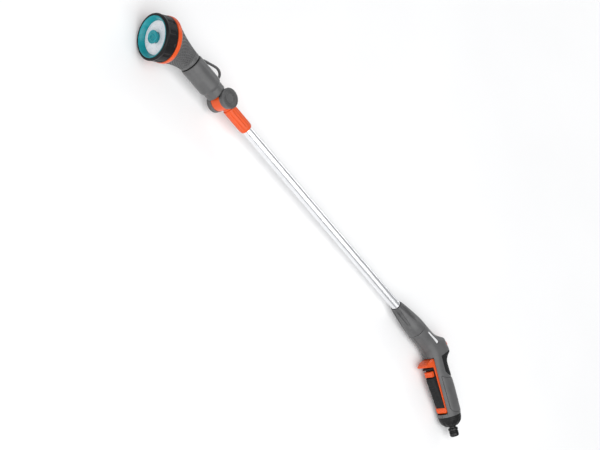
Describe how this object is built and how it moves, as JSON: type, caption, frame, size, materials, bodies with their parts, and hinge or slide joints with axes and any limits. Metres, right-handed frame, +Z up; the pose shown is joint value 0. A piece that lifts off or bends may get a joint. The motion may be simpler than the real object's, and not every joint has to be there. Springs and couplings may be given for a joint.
{
  "type": "watering wand",
  "caption": "Long watering wand with a tilting turret shower head, slim aluminium tube, pistol grip with squeeze trigger and lock, flow dial and hose nipple.",
  "frame": {"origin": "centre of the bounding box's underside: the surface that the wand lies on", "axes": "+X runs along the wand from the spray head to the hose nipple, +Z is up with the wand lying on its side, and the trigger and the spray face look towards -Y"},
  "size_m": [0.9042, 0.131, 0.0745],
  "materials": {
    "housing_grey": "fine moulded texture, satin, with lighter edges",
    "orange_plastic": "smooth moulded, semi gloss",
    "teal_plastic": "smooth moulded, glossy",
    "spray_plate_silver": "pale silver, slightly pearly, with pinholes",
    "selector_black": "soft matt overmould",
    "soft_grip_black": "soft matt overmould with fine grain",
    "tube_aluminium": "drawn and anodised, satin",
    "end_cap_dark": "moulded, satin",
    "nipple_black": "moulded, satin",
    "badge_light": "plain pale inlay",
    "inner_dark": "moulded",
    "inner_natural": "natural acetal",
    "stainless": "bright",
    "seal_rubber": "moulded seal"
  },
  "bodies": {
    "lance": {"lance_sleeve": "orange_plastic", "lance_tube": "tube_aluminium", "tube_o_ring_front": "seal_rubber", "tube_o_ring_rear": "seal_rubber", "nose_cone": "housing_grey", "tube_bush": "inner_dark", "handle_shell_near": "housing_grey", "handle_shell_far": "housing_grey", "rear_grip_pad": "soft_grip_black", "rear_panel": "housing_grey", "badge_strip_near": "badge_light", "badge_strip_far": "badge_light", "trigger_pin": "stainless", "trigger_spring": "stainless", "valve_body": "inner_dark", "plunger_o_ring": "seal_rubber", "regulator_body": "inner_dark", "inlet_pipe": "inner_natural", "end_cap": "end_cap_dark", "nipple_seal": "seal_rubber", "hose_nipple": "nipple_black", "nipple_o_ring": "seal_rubber", "inlet_filter": "stainless"},
    "head": {"head_plate": "inner_dark", "turret_seal": "seal_rubber", "turret_screw": "stainless", "detent_spring": "stainless", "index_ring": "orange_plastic", "funnel": "housing_grey", "funnel_o_ring": "seal_rubber", "throat_ring": "seal_rubber", "head_water_tube": "inner_natural", "head_body": "housing_grey", "hanging_loop": "housing_grey", "pivot_cap_near": "housing_grey", "pivot_cap_far": "housing_grey", "pivot_axle": "inner_natural", "pivot_o_ring_near": "seal_rubber", "pivot_o_ring_far": "seal_rubber"},
    "turret": {"selector_ring": "selector_black", "bezel": "teal_plastic", "spray_plate": "spray_plate_silver", "centre_nozzle": "teal_plastic", "pattern_disc": "inner_natural"},
    "trigger": {"trigger": "orange_plastic", "trigger_pad": "soft_grip_black"},
    "trigger_lock": {"trigger_lock": "orange_plastic"},
    "valve_plunger": {"valve_plunger": "stainless", "valve_seal": "seal_rubber"},
    "flow_dial": {"flow_dial": "orange_plastic", "flow_spindle": "inner_natural", "spindle_o_ring": "seal_rubber"}
  },
  "joints": [
    {"name": "head_tilt", "type": "hinge", "parent": "lance", "child": "head", "pos_m": [-0.27418, 0.02894, 0.03286], "axis": [0.0247, 0.0588, 0.998], "range_deg": [-90, 90]},
    {"name": "pattern_turn", "type": "hinge", "parent": "head", "child": "turret", "pos_m": [-0.4293, 0.00638, 0.03803], "axis": [-0.7936, -0.6059, 0.0554], "continuous": true},
    {"name": "trigger_press", "type": "hinge", "parent": "lance", "child": "trigger", "pos_m": [0.40003, -0.04054, 0.02024], "axis": [-0.0247, -0.0588, -0.998], "range_deg": [0, 7], "stiffness_Nm_per_rad": 2},
    {"name": "lock_slide", "type": "slide", "parent": "trigger", "child": "trigger_lock", "axis": [-0.829, 0.5591, -0.0124], "range_m": [0, 0.0028]},
    {"name": "plunger_slide", "type": "slide", "parent": "lance", "child": "valve_plunger", "axis": [0.5587, 0.827, -0.0626], "range_m": [0, 0.0047], "deforming": ["trigger_spring"]},
    {"name": "dial_turn", "type": "hinge", "parent": "lance", "child": "flow_dial", "pos_m": [0.3341, 0.0501, 0.01653], "axis": [0.2926, 0.9541, -0.0635], "range_deg": [-135, 135]}
  ],
  "couplings": [
    {"joint": "plunger_slide", "follows": "trigger_press", "m_per_rad": 0.038}
  ]
}
